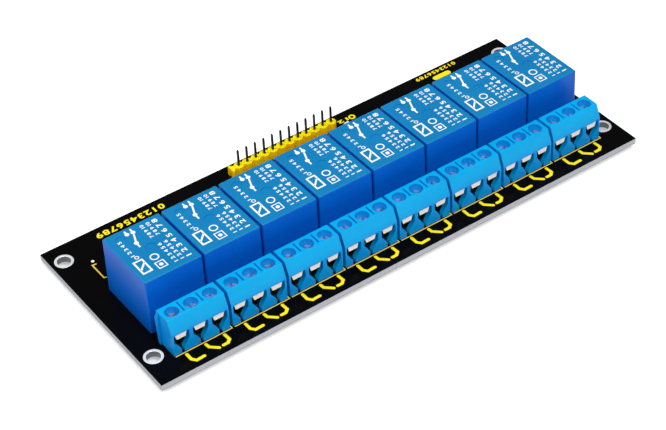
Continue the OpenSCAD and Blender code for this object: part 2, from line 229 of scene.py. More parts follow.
def addFigures(bm, words, centre, length, height, turn, low, thickness, weight, spread=1.0):
    # stretched to a length and height, then turned about their middle
    curve = bpy.data.curves.new("figures", "FONT")
    curve.body = words
    curve.resolution_u = meshing["textSteps"]
    curve.extrude = meshing["textDepth"]
    curve.offset = weight
    curve.space_character = spread
    holder = bpy.data.objects.new("figures", curve)
    mesh = bpy.data.meshes.new_from_object(holder)
    made = bmesh.new()
    made.from_mesh(mesh)
    mergeFlat(made, meshing["textMerge"])
    lowest, highest = boxOf(made.verts)
    span = highest - lowest
    bmesh.ops.translate(made, vec=-(lowest + highest) / 2, verts=made.verts)
    bmesh.ops.scale(made, vec=(length / span.x, height / span.y, thickness / span.z), verts=made.verts)
    bmesh.ops.rotate(made, cent=(0, 0, 0), matrix=Matrix.Rotation(math.radians(turn), 3, "Z"),
                     verts=made.verts)
    bmesh.ops.translate(made, vec=(*centre, low + thickness / 2), verts=made.verts)
    joinTo(bm, made)
    bpy.data.objects.remove(holder)
    bpy.data.meshes.remove(mesh)
    bpy.data.curves.remove(curve)


def finishPiece(name, bm, material, replaced=(), crease=35, weighted=False):
    bmesh.ops.scale(bm, vec=(mm,) * 3, verts=bm.verts)
    limit = math.radians(crease)
    for face in bm.faces:
        face.smooth = True
    for edge in bm.edges:
        edge.smooth = edge.calc_face_angle(0) < limit
    mesh = bpy.data.meshes.new(name)
    bm.to_mesh(mesh)
    bm.free()
    mesh.materials.append(materials[material])
    piece = bpy.data.objects.new(name, mesh)
    bpy.context.scene.collection.objects.link(piece)
    if weighted:
        piece.modifiers.new("evenFaces", "WEIGHTED_NORMAL").keep_sharp = True
    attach(piece, "root")
    if replaced:
        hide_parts(*replaced)


def dressNode(name, material):
    slots = nodes[name].data.materials
    slots.clear()
    slots.append(materials[material])


# Material helpers

def paint(colour):  # red, green and blue up to 255, as linear light
    shares = [value / 255 for value in colour]
    return (*(s / 12.92 if s <= 0.04045 else ((s + 0.055) / 1.055) ** 2.4 for s in shares), 1)


def addNode(tree, kind, sockets=None, **settings):
    node = tree.nodes.new(kind)
    for key, value in settings.items():
        setattr(node, key, value)
    for key, value in (sockets or {}).items():
        if isinstance(value, bpy.types.NodeSocket):
            tree.links.new(value, node.inputs[key])
        else:
            node.inputs[key].default_value = value
    return node


def newMaterial(name, plain):
    material = bpy.data.materials.new(name)
    material.use_nodes = True
    tree = material.node_tree
    shader = tree.nodes["Principled BSDF"]
    for key, value in plain.items():
        shader.inputs[key].default_value = value
    return material, tree, shader


def mixColours(tree, factor, first, second):  # a Mix node's colour inputs are its 7th and 8th
    return addNode(tree, "ShaderNodeMix", {0: factor, 6: first, 7: second}, data_type="RGBA").outputs[2]


def mathNode(tree, operation, *values):
    return addNode(tree, "ShaderNodeMath", dict(enumerate(values)), operation=operation).outputs[0]


def mapRange(tree, value, low, high, fromLow=0.0, fromHigh=1.0):
    return addNode(tree, "ShaderNodeMapRange", {
        "Value": value, "From Min": fromLow, "From Max": fromHigh, "To Min": low, "To Max": high,
    }).outputs["Result"]


def addBump(tree, shader, height, distance):
    bump = addNode(tree, "ShaderNodeBump", {"Height": height, "Distance": distance, "Strength": 1.0})
    tree.links.new(bump.outputs["Normal"], shader.inputs["Normal"])


def newGroup(name, inputs, outputs):
    tree = bpy.data.node_groups.new(name, "ShaderNodeTree")
    for label, value in inputs.items():
        socket = tree.interface.new_socket(label, in_out="INPUT", socket_type="NodeSocketFloat")
        socket.default_value = value
    for label in outputs:
        tree.interface.new_socket(label, in_out="OUTPUT", socket_type="NodeSocketFloat")
    return tree, tree.nodes.new("NodeGroupInput"), tree.nodes.new("NodeGroupOutput")


surfaceLook = {"grainDetail": 3.0, "grainRoughness": 0.6, "patchDetail": 4.0, "patchRoughness": 0.55,
               "smearDetail": 5.0, "smearDistortion": 0.4, "smearStretch": (1.0, 0.25, 1.0),
               "smearRise": 0.12, "noiseSpan": (0.3, 0.7)}


def makeSurfaceGroup():  # fine grain, slow tone patches and handling smears
    tree, given, out = newGroup("surfaceGrain", {"Grain": 6000, "Patch": 120, "Smear": 400},
                                ("Height", "Tone", "Shine"))
    place = addNode(tree, "ShaderNodeTexCoord").outputs["Object"]
    grain = addNode(tree, "ShaderNodeTexNoise", {
        "Vector": place, "Scale": given.outputs["Grain"], "Detail": surfaceLook["grainDetail"],
        "Roughness": surfaceLook["grainRoughness"]})
    patch = addNode(tree, "ShaderNodeTexNoise", {
        "Vector": place, "Scale": given.outputs["Patch"], "Detail": surfaceLook["patchDetail"],
        "Roughness": surfaceLook["patchRoughness"]})
    stretched = addNode(tree, "ShaderNodeMapping", {"Vector": place, "Scale": surfaceLook["smearStretch"]})
    smear = addNode(tree, "ShaderNodeTexNoise", {
        "Vector": stretched.outputs["Vector"], "Scale": given.outputs["Smear"],
        "Detail": surfaceLook["smearDetail"], "Distortion": surfaceLook["smearDistortion"]})
    tree.links.new(grain.outputs["Fac"], out.inputs["Height"])
    tree.links.new(patch.outputs["Fac"], out.inputs["Tone"])
    tree.links.new(smear.outputs["Fac"], out.inputs["Shine"])
    return tree


def makeUpwardGroup():  # 1 on faces that look up, 0 on upright and downward ones
    tree, given, out = newGroup("upwardFaces", {"From": 0.05, "To": 0.3}, ("Mask",))
    normal = addNode(tree, "ShaderNodeTexCoord").outputs["Normal"]
    rise = addNode(tree, "ShaderNodeSeparateXYZ", {"Vector": normal}).outputs["Z"]
    mask = addNode(tree, "ShaderNodeMapRange", {
        "Value": rise, "From Min": given.outputs["From"], "From Max": given.outputs["To"]},
        interpolation_type="SMOOTHSTEP").outputs["Result"]
    tree.links.new(mask, out.inputs["Mask"])
    return tree


surfaceGrain = makeSurfaceGroup()
upwardFaces = makeUpwardGroup()


def addSurface(tree, scales):
    sizes = dict(zip(("Grain", "Patch", "Smear"), scales))
    return addNode(tree, "ShaderNodeGroup", sizes, node_tree=surfaceGrain).outputs


def tonedColour(tree, tone, colours):
    return mixColours(tree, tone, *(paint(colour) for colour in colours))


def evenMaterial(name, look):  # one finish all over: moulded plastic, glass or metal
    material, tree, shader = newMaterial(name, look["plain"])
    surface = addSurface(tree, look["scales"])
    tone = mapRange(tree, surface["Tone"], 0.0, 1.0, *surfaceLook["noiseSpan"])
    roughness = mapRange(tree, surface["Shine"], *look["roughness"], *surfaceLook["noiseSpan"])
    tree.links.new(tonedColour(tree, tone, look["colours"]), shader.inputs["Base Color"])
    tree.links.new(roughness, shader.inputs["Roughness"])
    addBump(tree, shader, surface["Height"], look["bump"])
    return material


def twoToneMaterial(name, look):  # painted light and shade by facing: a paler colour painted on upward faces as lit, a deeper one on upright faces as shade; the upward faces are also rougher
    material, tree, shader = newMaterial(name, look["plain"])
    surface = addSurface(tree, look["scales"])
    facing = dict(zip(("From", "To"), look["facing"]))
    mask = addNode(tree, "ShaderNodeGroup", facing, node_tree=upwardFaces).outputs["Mask"]
    tone = mapRange(tree, surface["Tone"], 0.0, 1.0, *surfaceLook["noiseSpan"])
    walls = tonedColour(tree, tone, look["walls"])
    litTops = tonedColour(tree, tone, look["litTops"])
    # painted light: the lit colour of the tops over the painted shade of the walls, chosen by how far each
    # face looks up
    tree.links.new(mixColours(tree, mask, walls, litTops), shader.inputs["Base Color"])
    smear = mapRange(tree, surface["Shine"], 0.0, surfaceLook["smearRise"], *surfaceLook["noiseSpan"])
    roughness = mathNode(tree, "ADD", smear, mapRange(tree, mask, *look["roughness"]))
    tree.links.new(roughness, shader.inputs["Roughness"])
    addBump(tree, shader, surface["Height"], look["bump"])
    return material


def inkMaterial(name, look):  # the print: its colour and height follow the same grain
    material, tree, shader = newMaterial(name, look["plain"])
    surface = addSurface(tree, look["scales"])
    tone = mapRange(tree, surface["Height"], 0.0, 1.0, *look["toneSpan"])
    tree.links.new(tonedColour(tree, tone, look["colours"]), shader.inputs["Base Color"])
    tree.links.new(mapRange(tree, surface["Shine"], *look["roughness"]), shader.inputs["Roughness"])
    addBump(tree, shader, surface["Height"], look["bump"])
    return material


boardLook = {"skin": [(4, 4, 5), (8, 8, 9)], "laminate": [(150, 152, 158), (202, 203, 208)],
             "scales": (3000, 60, 80), "roughness": (0.16, 0.3), "arris": 0.07, "sideLimit": 0.5,
             "layerScale": 1400.0, "layerDistortion": 3.0, "layerDetail": 3.0, "layerDetailScale": 2.0,
             "weaveScale": 1800.0, "weaveBump": 0.000004,
             "plain": {"Specular IOR Level": 0.05, "IOR": 1.5}}


def boardMaterial(name, look):  # dark lacquer over a pale laminate that shows on the sawn sides
    material, tree, shader = newMaterial(name, look["plain"])
    coords = addNode(tree, "ShaderNodeTexCoord").outputs
    surface = addSurface(tree, look["scales"])
    facing = addNode(tree, "ShaderNodeSeparateXYZ", {"Vector": coords["Normal"]}).outputs["Z"]
    side = mathNode(tree, "LESS_THAN", mathNode(tree, "ABSOLUTE", facing), look["sideLimit"])
    layers = addNode(tree, "ShaderNodeTexWave", {
        "Vector": coords["Object"], "Scale": look["layerScale"], "Distortion": look["layerDistortion"],
        "Detail": look["layerDetail"], "Detail Scale": look["layerDetailScale"]},
        wave_type="BANDS", bands_direction="Z")
    laminate = tonedColour(tree, layers.outputs["Fac"], look["laminate"])
    tone = mapRange(tree, surface["Tone"], 0.0, 1.0, *surfaceLook["noiseSpan"])
    skin = tonedColour(tree, tone, look["skin"])
    # the lacquer's dark line along the upper and lower arris
    place = addNode(tree, "ShaderNodeSeparateXYZ", {"Vector": coords["Object"]}).outputs["Z"]
    rise = mathNode(tree, "SUBTRACT", place, (boardLow.z + boardHigh.z) / 2 * mm)
    within = ((boardHigh.z - boardLow.z) / 2 - look["arris"]) * mm
    inner = mathNode(tree, "LESS_THAN", mathNode(tree, "ABSOLUTE", rise), within)
    bare = mathNode(tree, "MULTIPLY", side, inner)
    tree.links.new(mixColours(tree, bare, skin, laminate), shader.inputs["Base Color"])
    gloss = mapRange(tree, surface["Shine"], *look["roughness"], *surfaceLook["noiseSpan"])
    tree.links.new(mathNode(tree, "MAXIMUM", gloss, bare), shader.inputs["Roughness"])
    weave = addNode(tree, "ShaderNodeTexVoronoi", {
        "Vector": coords["Object"], "Scale": look["weaveScale"]}, distance="CHEBYCHEV")
    addBump(tree, shader, weave.outputs["Distance"], look["weaveBump"])
    return material


# Finishes: colours up to 255, the scales of grain, patches and smears, and bump in metres

evenLooks = {
    "trackMask": {"colours": [(17, 18, 22), (26, 27, 32)], "scales": (3000, 120, 300),
                  "roughness": (0.2, 0.34), "bump": 0.000004,
                  "plain": {"IOR": 1.5, "Specular IOR Level": 0.2}},
    "tinPlate": {"colours": [(206, 208, 212), (240, 241, 243)], "scales": (2500, 700, 900),
                 "roughness": (0.2, 0.38), "bump": 0.000006, "plain": {"Metallic": 1.0}},
    "pottedResin": {"colours": [(18, 20, 24), (30, 32, 38)], "scales": (1500, 120, 300),
                    "roughness": (0.35, 0.6), "bump": 0.00002, "plain": {"IOR": 1.5}},
    "screwSteel": {"colours": [(196, 202, 210), (240, 243, 248)], "scales": (2500, 700, 900),
                   "roughness": (0.05, 0.14), "bump": 0.000004, "plain": {"Metallic": 0.85}},
    # painted shade: the tinned contacts are painted dark grey to stand for the shade inside the wire
    # throats
    "shadedContactPlate": {"colours": [(104, 100, 92), (140, 136, 126)], "scales": (2500, 700, 900),
                     "roughness": (0.2, 0.4), "bump": 0.000005, "plain": {"Metallic": 1.0}},
    "leafPlate": {"colours": [(248, 238, 226), (255, 250, 242)], "scales": (2500, 700, 900),
                  "roughness": (0.35, 0.5), "bump": 0.000004, "plain": {"Metallic": 0.15}},
    "blackPins": {"colours": [(16, 16, 18), (34, 34, 36)], "scales": (2500, 700, 900),
                  "roughness": (0.25, 0.45), "bump": 0.000004, "plain": {"Metallic": 0.7}},
    "optoPlastic": {"colours": [(226, 226, 218), (240, 240, 234)], "scales": (4000, 120, 300),
                    "roughness": (0.5, 0.7), "bump": 0.00001, "plain": {"IOR": 1.5}},
    "chipPlastic": {"colours": [(22, 22, 24), (34, 34, 36)], "scales": (4000, 120, 300),
                    "roughness": (0.5, 0.7), "bump": 0.00001, "plain": {"IOR": 1.5}},
    "chipCeramic": {"colours": [(26, 28, 34), (42, 44, 52)], "scales": (5000, 120, 300),
                    "roughness": (0.2, 0.4), "bump": 0.000004, "plain": {"IOR": 1.5}},
    "lampBase": {"colours": [(236, 232, 220), (246, 244, 236)], "scales": (6000, 120, 300),
                 "roughness": (0.4, 0.6), "bump": 0.000006, "plain": {"IOR": 1.5}},
    "lampLens": {"colours": [(214, 30, 26), (236, 48, 38)], "scales": (6000, 120, 300),
                 "roughness": (0.08, 0.16), "bump": 0.000002, "plain": {"IOR": 1.5, "Coat Weight": 0.6}},
    "diodeGlass": {"colours": [(186, 92, 52), (214, 122, 78)], "scales": (6000, 120, 300),
                   "roughness": (0.05, 0.12), "bump": 0.000002,
                   "plain": {"IOR": 1.52, "Coat Weight": 0.8}},
    "solderMetal": {"colours": [(176, 178, 184), (222, 224, 228)], "scales": (1500, 700, 900),
                    "roughness": (0.16, 0.42), "bump": 0.00002, "plain": {"Metallic": 1.0}},
}
# facing: the rise of a face's normal at which the painted shade of the walls starts and ends its blend into
# the painted light of the tops
shadeByFacingLooks = {
    # painted shade: the plated bores' walls are painted dark as shade inside the holes, the upward rings
    # pale as lit
    "eyeletTin": {"walls": [(84, 86, 92), (128, 130, 136)], "litTops": [(236, 237, 240), (252, 252, 253)],
                  "scales": (2500, 120, 300), "facing": (0.05, 0.3), "roughness": (0.3, 0.5),
                  "bump": 0.000008, "plain": {"Metallic": 0.5}},
    # painted light: the paler, greener roof is painted as lit and the deeper blue sides as shade; the
    # rougher roof is its satin finish
    "relayPlastic": {"walls": [(0, 92, 194), (2, 98, 200)], "litTops": [(10, 119, 176), (18, 127, 184)],
                     "scales": (6000, 120, 300), "facing": (0.3, 0.8), "roughness": (0.26, 0.4),
                     "bump": 0.000005, "plain": {"IOR": 1.5, "Specular IOR Level": 0.17}},
    # painted light: upward and leaning faces are painted paler as lit, upright faces deeper blue as shade
    "terminalPlastic": {"walls": [(0, 142, 222), (2, 149, 228)], "litTops": [(0, 158, 218), (4, 166, 225)],
                        "scales": (6000, 120, 300), "facing": (0.1, 0.3), "roughness": (0.3, 0.4),
                        "bump": 0.000004, "plain": {"IOR": 1.5, "Specular IOR Level": 0.16}},
    # painted shade: the upright faces are painted orange as shade, the upward faces yellow as lit; the
    # subsurface glow is the plastic's own translucency
    "headerPlastic": {"walls": [(255, 190, 0), (255, 202, 2)], "litTops": [(255, 222, 0), (255, 230, 6)],
                      "scales": (6000, 120, 300), "facing": (0.05, 0.3), "roughness": (0.4, 0.5),
                      "bump": 0.000005,
                      "plain": {"IOR": 1.48, "Specular IOR Level": 0.2, "Subsurface Weight": 0.6,
                                "Subsurface Scale": 0.0015, "Subsurface Radius": (1.0, 0.6, 0.1)}},
}
ink = {"scales": (9000, 900, 1500), "toneSpan": (0.35, 0.65), "roughness": (0.5, 0.75),
       "bump": 0.00001, "plain": {"Specular IOR Level": 0.3}}
inkLooks = {
    "silkYellow": {**ink, "colours": [(253, 226, 8), (255, 236, 24)]},
    "silkPale": {**ink, "colours": [(248, 206, 76), (254, 216, 96)]},
    "silkWhite": {**ink, "colours": [(246, 247, 248), (255, 255, 255)]},
}

materials = {}
for makeMaterial, looks in ((boardMaterial, {"boardMask": boardLook}), (evenMaterial, evenLooks),
                            (twoToneMaterial, shadeByFacingLooks), (inkMaterial, inkLooks)):
    for title, look in looks.items():
        materials[title] = makeMaterial(title, look)
print("materials made")

# Board, its plated mounting holes and the tracks under the lacquer

dressNode("board", "boardMask")

eyelet = {"ring": 0.6, "plating": 0.06, "lip": 0.05, "steps": 48}


def buildEyelets():
    bm = bmesh.new()
    under = boardLow.z
    lip = eyelet["lip"]
    for low, high in islandBoxes("hole_rings"):
        if high.z < boardTop:  # the ring on the underside is made with the one above it
            continue
        middle = (low + high) / 2
        outer = (high.x - low.x) / 2
        bore = outer - eyelet["ring"]
        inner = bore - eyelet["plating"]
        thick = high.z - boardTop
        profile = [(inner, under - thick + lip), (inner, high.z - lip), (bore, high.z),
                   (outer - lip, high.z), (outer, high.z - lip), (outer, boardTop),
                   (bore, boardTop), (bore, under), (outer, under), (outer, under - thick + lip),
                   (outer - lip, under - thick), (bore, under - thick)]
        addLathe(bm, profile, (middle.x, middle.y, 0), eyelet["steps"], closed=True)
    finishPiece("mountingEyelets", bm, "eyeletTin", ["hole_rings"])


buildEyelets()

tracks = {"thick": 0.035, "powerWidth": 2.4, "coilWidth": 0.9, "signalWidth": 0.5, "reach": 1.2,
          "channelReach": 7, "rowSpread": 0.2, "rowGap": 1, "coilRuns": (5.6, 3.6), "coilKick": 1.4,
          "firstSignal": 2, "railBack": 2.6, "railPitch": 0.75, "railDrop": 1.6, "driverShift": 3.6}


def buildTracks():
    bm = bmesh.new()
    thick, reach = tracks["thick"], tracks["reach"]
    low = boardLow.z - thick
    joints = [(low + high) / 2 for low, high in islandBoxes("solder_joints")]
    rows = sorted({round(joint.y, 1) for joint in joints})
    terminalRow, headerRow = rows[0], rows[-1]
    terminalJoints = [j for j in joints if abs(j.y - terminalRow) < tracks["rowSpread"]]
    relayJoints = [j for j in joints if terminalRow + tracks["rowGap"] < j.y < headerRow - tracks["rowGap"]]
    headerJoints = sorted((j for j in joints if abs(j.y - headerRow) < tracks["rowSpread"]),
                          key=lambda j: j.x)
    for at in channelAt:
        poles, near = ([j for j in group if abs(j.x - at) < tracks["channelReach"]]
                       for group in (terminalJoints, relayJoints))
        poles.sort(key=lambda j: j.x)
        near.sort(key=lambda j: j.y)
        middle, sides, coils = near[0], near[1:3], near[3:]
        sides.sort(key=lambda j: j.x)
        coils.sort(key=lambda j: j.x)
        for pole, joint in zip(poles, (sides[0], middle, sides[1])):
            bend = (joint.x, pole.y + abs(joint.x - pole.x) + reach)
            addStroke(bm, [(pole.x, pole.y), (pole.x, pole.y + reach), bend, (joint.x, joint.y)],
                      tracks["powerWidth"], low, thick)
        for joint, run in zip(coils, tracks["coilRuns"]):
            kink = joint.y + run
            addStroke(bm, [(joint.x, joint.y), (joint.x, kink),
                           (joint.x + tracks["coilKick"], kink + tracks["coilKick"])],
                      tracks["coilWidth"], low, thick)
    signals = headerJoints[tracks["firstSignal"]:][:channelCount]
    for number, (joint, at) in enumerate(zip(signals, channelAt)):
        goal = at + tracks["driverShift"]
        inward = min(number, channelCount - 1 - number)  # the outermost goals run nearest the header
        rail = headerRow - tracks["railBack"] - tracks["railPitch"] * inward
        addStroke(bm, [(joint.x, joint.y), (joint.x, rail), (goal, rail),
                       (goal, rail - tracks["railDrop"])], tracks["signalWidth"], low, thick)
    finishPiece("trackRelief", bm, "trackMask")


buildTracks()
print("board made")

# Relays

relayCover = {"crease": 40}  # edges that turn more than this stay sharp
# places are from the middle of a cover's roof, and strokes are given by their points
relayPrint = {
    "thick": 0.02, "bold": 0.42, "fine": 0.24, "weight": 0.016, "turn": 90,
    "figures": [("1 2 3 4 5 6 7 8", (5.3, 0.2), 15.6, 1.35), ("1 2 3 4 5 6", (3.55, -3.7), 7.6, 0.95),
                ("7 8 9 10", (3.55, 5.3), 5.2, 0.95), ("1 2 3 4 5 6", (1.95, -3.7), 7.6, 0.95),
                ("7 8 9 10", (1.95, 5.3), 5.2, 0.95), ("1 2 3 4 5", (-5.0, 2.9), 6.2, 0.95)],
    "coil": [[(-6.1, -6.6), (-3.9, -6.6), (-3.9, -2.2), (-6.1, -2.2), (-6.1, -6.6)],
             [(-5.9, -5.3), (-4.1, -3.5)]],
    "contact": [[(-2.0, 1.8), (-2.0, 3.3), (-0.95, 6.1)], [(-0.7, 6.9), (-0.7, 8.2)],
                [(-2.2, 7.1), (-2.2, 8.2)]],
    "contactEnds": [(-2.0, 3.3), (-0.7, 6.9), (-2.2, 7.1)], "endRadius": 0.55, "endThick": 0.025,
    "pinSquare": [(-2.3, -7.3), (-0.2, -7.3), (-0.2, -5.1), (-2.3, -5.1), (-2.3, -7.3)],
    "pinDot": (-1.25, -6.2), "pinDotRadius": 0.5,
    "pinRing": ((-1.2, -3.2), 0.95, 0.3), "smallRing": ((-4.5, -1.0), 0.45, 0.2), "smallSteps": 20}


def relayMarks(low):
    bm = bmesh.new()
    thick = relayPrint["thick"]
    for words, place, length, height in relayPrint["figures"]:
        addFigures(bm, words, place, length, height, relayPrint["turn"], low, thick,
                   relayPrint["weight"])
    for points in relayPrint["coil"] + relayPrint["contact"]:
        addStroke(bm, points, relayPrint["bold"], low, thick)
    for place in relayPrint["contactEnds"]:
        addDisc(bm, place, relayPrint["endRadius"], low, relayPrint["endThick"])
    addStroke(bm, relayPrint["pinSquare"], relayPrint["fine"], low, thick)
    addDisc(bm, relayPrint["pinDot"], relayPrint["pinDotRadius"], low, thick)
    addRing(bm, *relayPrint["pinRing"], low, thick)
    addRing(bm, *relayPrint["smallRing"], low, thick, relayPrint["smallSteps"])
    return bm


def buildRelays():
    for name in channelNodes("relay_case"):
        finishPiece(name.replace("relay_case", "relayCover"), copyOfNode(name), "relayPlastic",
                    [name], crease=relayCover["crease"], weighted=True)
    marks = relayMarks(relayBoxes[0][1].z)
    for name, at in zip(channelNodes("relayPrint"), channelAt):
        bm = marks.copy()
        bmesh.ops.translate(bm, vec=(at, relayMiddle, 0), verts=bm.verts)
        finishPiece(name, bm, "silkWhite")
    marks.free()
    for name in channelNodes("relay_base"):
        dressNode(name, "pottedResin")
    dressNode("relay_leads", "tinPlate")


buildRelays()
print("relays made")

# Screw terminals

terminal = {"blockEdge": 0.12, "screwEdge": 0.1, "leafEdge": 0.06}


def buildTerminals():
    for kind, title, material, slotName, edge in (
            ("terminal_housing", "terminalBlock", "terminalPlastic", "terminal_blue", "blockEdge"),
            ("terminal_screws", "clampScrews", "screwSteel", "screw_steel", "screwEdge"),
            ("wire_guards", "wireLeaves", "leafPlate", "plated_leaf", "leafEdge")):
        for name in channelNodes(kind):
            bm = copyOfNode(name)
            soften(bm, sharpEdges(bm), terminal[edge])
            finishPiece(name.replace(kind, title), bm, material, [name], weighted=True)
    # the contacts take the tin painted dark as shade in the wire throats
    for name in channelNodes("terminal_contacts"):
        dressNode(name, "shadedContactPlate")


buildTerminals()
print("terminals made")

# Header

header = {"edge": 0.1, "pinEdge": 0.05}


def buildHeader():
    bm = copyOfNode("header_strip")
    soften(bm, sharpEdges(bm), header["edge"])
    finishPiece("headerStrip", bm, "headerPlastic", ["header_strip"], weighted=True)
    bm = copyOfNode("header_pins")
    soften(bm, sharpEdges(bm), header["pinEdge"], 1)
    finishPiece("headerPins", bm, "blackPins", ["header_pins"], weighted=True)


buildHeader()
print("header made")

# Driver parts of each channel

optocoupler = {"edge": 0.12, "dotInset": 1.2, "dotRadius": 0.45, "dotThick": 0.02}


def buildOptocouplers():
    bm = copyOfNode("optocouplers")
    soften(bm, sharpEdges(bm), optocoupler["edge"])
    finishPiece("optoBodies", bm, "optoPlastic", ["optocouplers"], weighted=True)
    dots = bmesh.new()
    for low, high in islandBoxes("optocouplers"):
        place = (low.x + optocoupler["dotInset"], high.y - optocoupler["dotInset"])
        addDisc(dots, place, optocoupler["dotRadius"], high.z, optocoupler["dotThick"])
    finishPiece("optoDots", dots, "chipPlastic")
    dressNode("optocoupler_leads", "tinPlate")


transistor = {"edge": 0.12, "rise": 0.1, "leadReach": 0.55, "leadTuck": 0.1, "leadWidth": 0.4,
              "leadThick": 0.3, "leadPitch": 1.9, "leadEdge": 0.06}


def buildTransistors():
    bodies, leads = bmesh.new(), bmesh.new()
    half, apart = transistor["leadWidth"] / 2, transistor["leadPitch"] / 2
    for low, high in islandBoxes("transistors"):
        front, back = low.y + transistor["leadReach"], high.y - transistor["leadReach"]
        addSoftBox(bodies, (low.x, front, low.z + transistor["rise"]), (high.x, back, high.z),
                   transistor["edge"])
        middle = (low.x + high.x) / 2
        for x, near, far in ((middle - apart, low.y, front + transistor["leadTuck"]),
                             (middle + apart, low.y, front + transistor["leadTuck"]),
                             (middle, back - transistor["leadTuck"], high.y)):
            addSoftBox(leads, (x - half, near, low.z), (x + half, far, low.z + transistor["leadThick"]),
                       transistor["leadEdge"])
    finishPiece("transistorBodies", bodies, "chipPlastic", ["transistors"])
    finishPiece("transistorLeads", leads, "tinPlate")


diode = {"steps": 28, "slimmer": 0.1, "cap": 0.5, "capEdge": 0.08, "bandFrom": 0.75, "bandTo": 1.25,
         "bandDepth": 0.1, "bandRise": 0.02}


def buildDiodes():
    glass, caps, bands = bmesh.new(), bmesh.new(), bmesh.new()
    cap, edge = diode["cap"], diode["capEdge"]
    for low, high in islandBoxes("clamp_diodes"):
        radius = (high.x - low.x) / 2
        slim = radius - diode["slimmer"]
        run = high.y - low.y
        centre = ((low.x + high.x) / 2, low.y, (low.z + high.z) / 2)
        addLathe(glass, [(0, cap / 2), (slim, cap / 2), (slim, run - cap / 2), (0, run - cap / 2)],
                 centre, diode["steps"], axis=(0, 1, 0))
        for start in (0, run - cap):
            addLathe(caps, [(0, start), (radius - edge, start), (radius, start + edge),
                            (radius, start + cap - edge), (radius - edge, start + cap),
                            (0, start + cap)], centre, diode["steps"], axis=(0, 1, 0))
        start, end = run - diode["bandTo"], run - diode["bandFrom"]
        inner, outer = slim - diode["bandDepth"], slim + diode["bandRise"]
        addLathe(bands, [(inner, start), (outer, start), (outer, end), (inner, end)], centre,
                 diode["steps"], closed=True, axis=(0, 1, 0))
    finishPiece("diodeTubes", glass, "diodeGlass", ["clamp_diodes"])
    finishPiece("diodeCaps", caps, "tinPlate")
    finishPiece("diodeBands", bands, "chipPlastic")


lamp = {"baseHeight": 0.4, "baseEdge": 0.06, "lensLength": 1.2, "lensInset": 0.1, "lensSink": 0.1,
        "lensEdge": 0.12, "lensSegments": 3, "padLength": 0.3, "padTuck": 0.05, "padDrop": 0.05,
        "padEdge": 0.04, "supplyReach": 2}


def buildLamps():  # the supply lamp is the one beside the header, and its lens isn't red
    bases, lenses, clear, pads = bmesh.new(), bmesh.new(), bmesh.new(), bmesh.new()
    pad, half = lamp["padLength"], lamp["lensLength"] / 2
    for low, high in islandBoxes("indicator_lamps"):
        shelf = low.z + lamp["baseHeight"]
        middle = (low.x + high.x) / 2
        addSoftBox(bases, (low.x + pad, low.y, low.z), (high.x - pad, high.y, shelf), lamp["baseEdge"])
        lens = lenses if high.y < stripFront - lamp["supplyReach"] else clear
        addSoftBox(lens, (middle - half, low.y + lamp["lensInset"], shelf - lamp["lensSink"]),
                   (middle + half, high.y - lamp["lensInset"], high.z), lamp["lensEdge"],
                   lamp["lensSegments"])
        for near, far in ((low.x, low.x + pad + lamp["padTuck"]),
                          (high.x - pad - lamp["padTuck"], high.x)):
            addSoftBox(pads, (near, low.y, low.z), (far, high.y, shelf - lamp["padDrop"]),
                       lamp["padEdge"])
    finishPiece("lampBases", bases, "lampBase")
    finishPiece("lampLenses", lenses, "lampLens", ["indicator_lamps"])
    finishPiece("supplyLens", clear, "lampBase")
    finishPiece("lampPads", pads, "tinPlate")


resistor = {"capLength": 0.35, "capEdge": 0.06, "bodyTuck": 0.05, "bodyInset": 0.03, "bodyEdge": 0.03,
            "plateThick": 0.06, "plateGap": 0.02, "plateInset": 0.08, "plateSink": 0.02,
            "plateEdge": 0.02}


def buildResistors():
    bodies, plates, caps = bmesh.new(), bmesh.new(), bmesh.new()
    tuck, inset = resistor["bodyTuck"], resistor["bodyInset"]
    gap, margin = resistor["plateGap"], resistor["plateInset"]
    for low, high in islandBoxes("chip_resistors"):
        near, far = low.x + resistor["capLength"], high.x - resistor["capLength"]
        roof = high.z - resistor["plateThick"]
        addSoftBox(bodies, (near - tuck, low.y + inset, low.z), (far + tuck, high.y - inset, roof),
                   resistor["bodyEdge"])
        addSoftBox(plates, (near + gap, low.y + margin, roof - resistor["plateSink"]),
                   (far - gap, high.y - margin, high.z), resistor["plateEdge"])
        for start, end in ((low.x, near), (far, high.x)):
            addSoftBox(caps, (start, low.y, low.z), (end, high.y, high.z), resistor["capEdge"])
    finishPiece("resistorBodies", bodies, "lampBase", ["chip_resistors"])
    finishPiece("resistorPlates", plates, "chipCeramic")
    finishPiece("resistorCaps", caps, "tinPlate")


buildOptocouplers()
buildTransistors()
buildDiodes()
buildLamps()
buildResistors()
print("driver parts made")

# Solder

solder = {"steps": 20, "flankSteps": 5, "flare": 0.38, "hollow": 2.4, "footInset": 0.03, "sink": 0.01,
          "crease": 50}


def buildSolder():
    bm = bmesh.new()
    for low, high in islandBoxes("solder_joints"):
        centre = (low + high) / 2
        foot = (high.x - low.x) / 2
        tip = foot - solder["flare"]
        rise = boardLow.z - low.z
        profile = [(0, low.z)]
        for step in range(solder["flankSteps"] + 1):  # a hollow flank from the lead out to the pad
            share = step / solder["flankSteps"]
            profile.append((tip + solder["flare"] * share ** solder["hollow"], low.z + rise * share))
        buried = boardLow.z + solder["sink"]
        profile += [(foot - solder["footInset"], buried), (0, buried)]
        addLathe(bm, profile, (centre.x, centre.y, 0), solder["steps"])
    finishPiece("solderFillets", bm, "solderMetal", ["solder_joints"],
                crease=solder["crease"])


buildSolder()
print("solder made")

# Print on the board

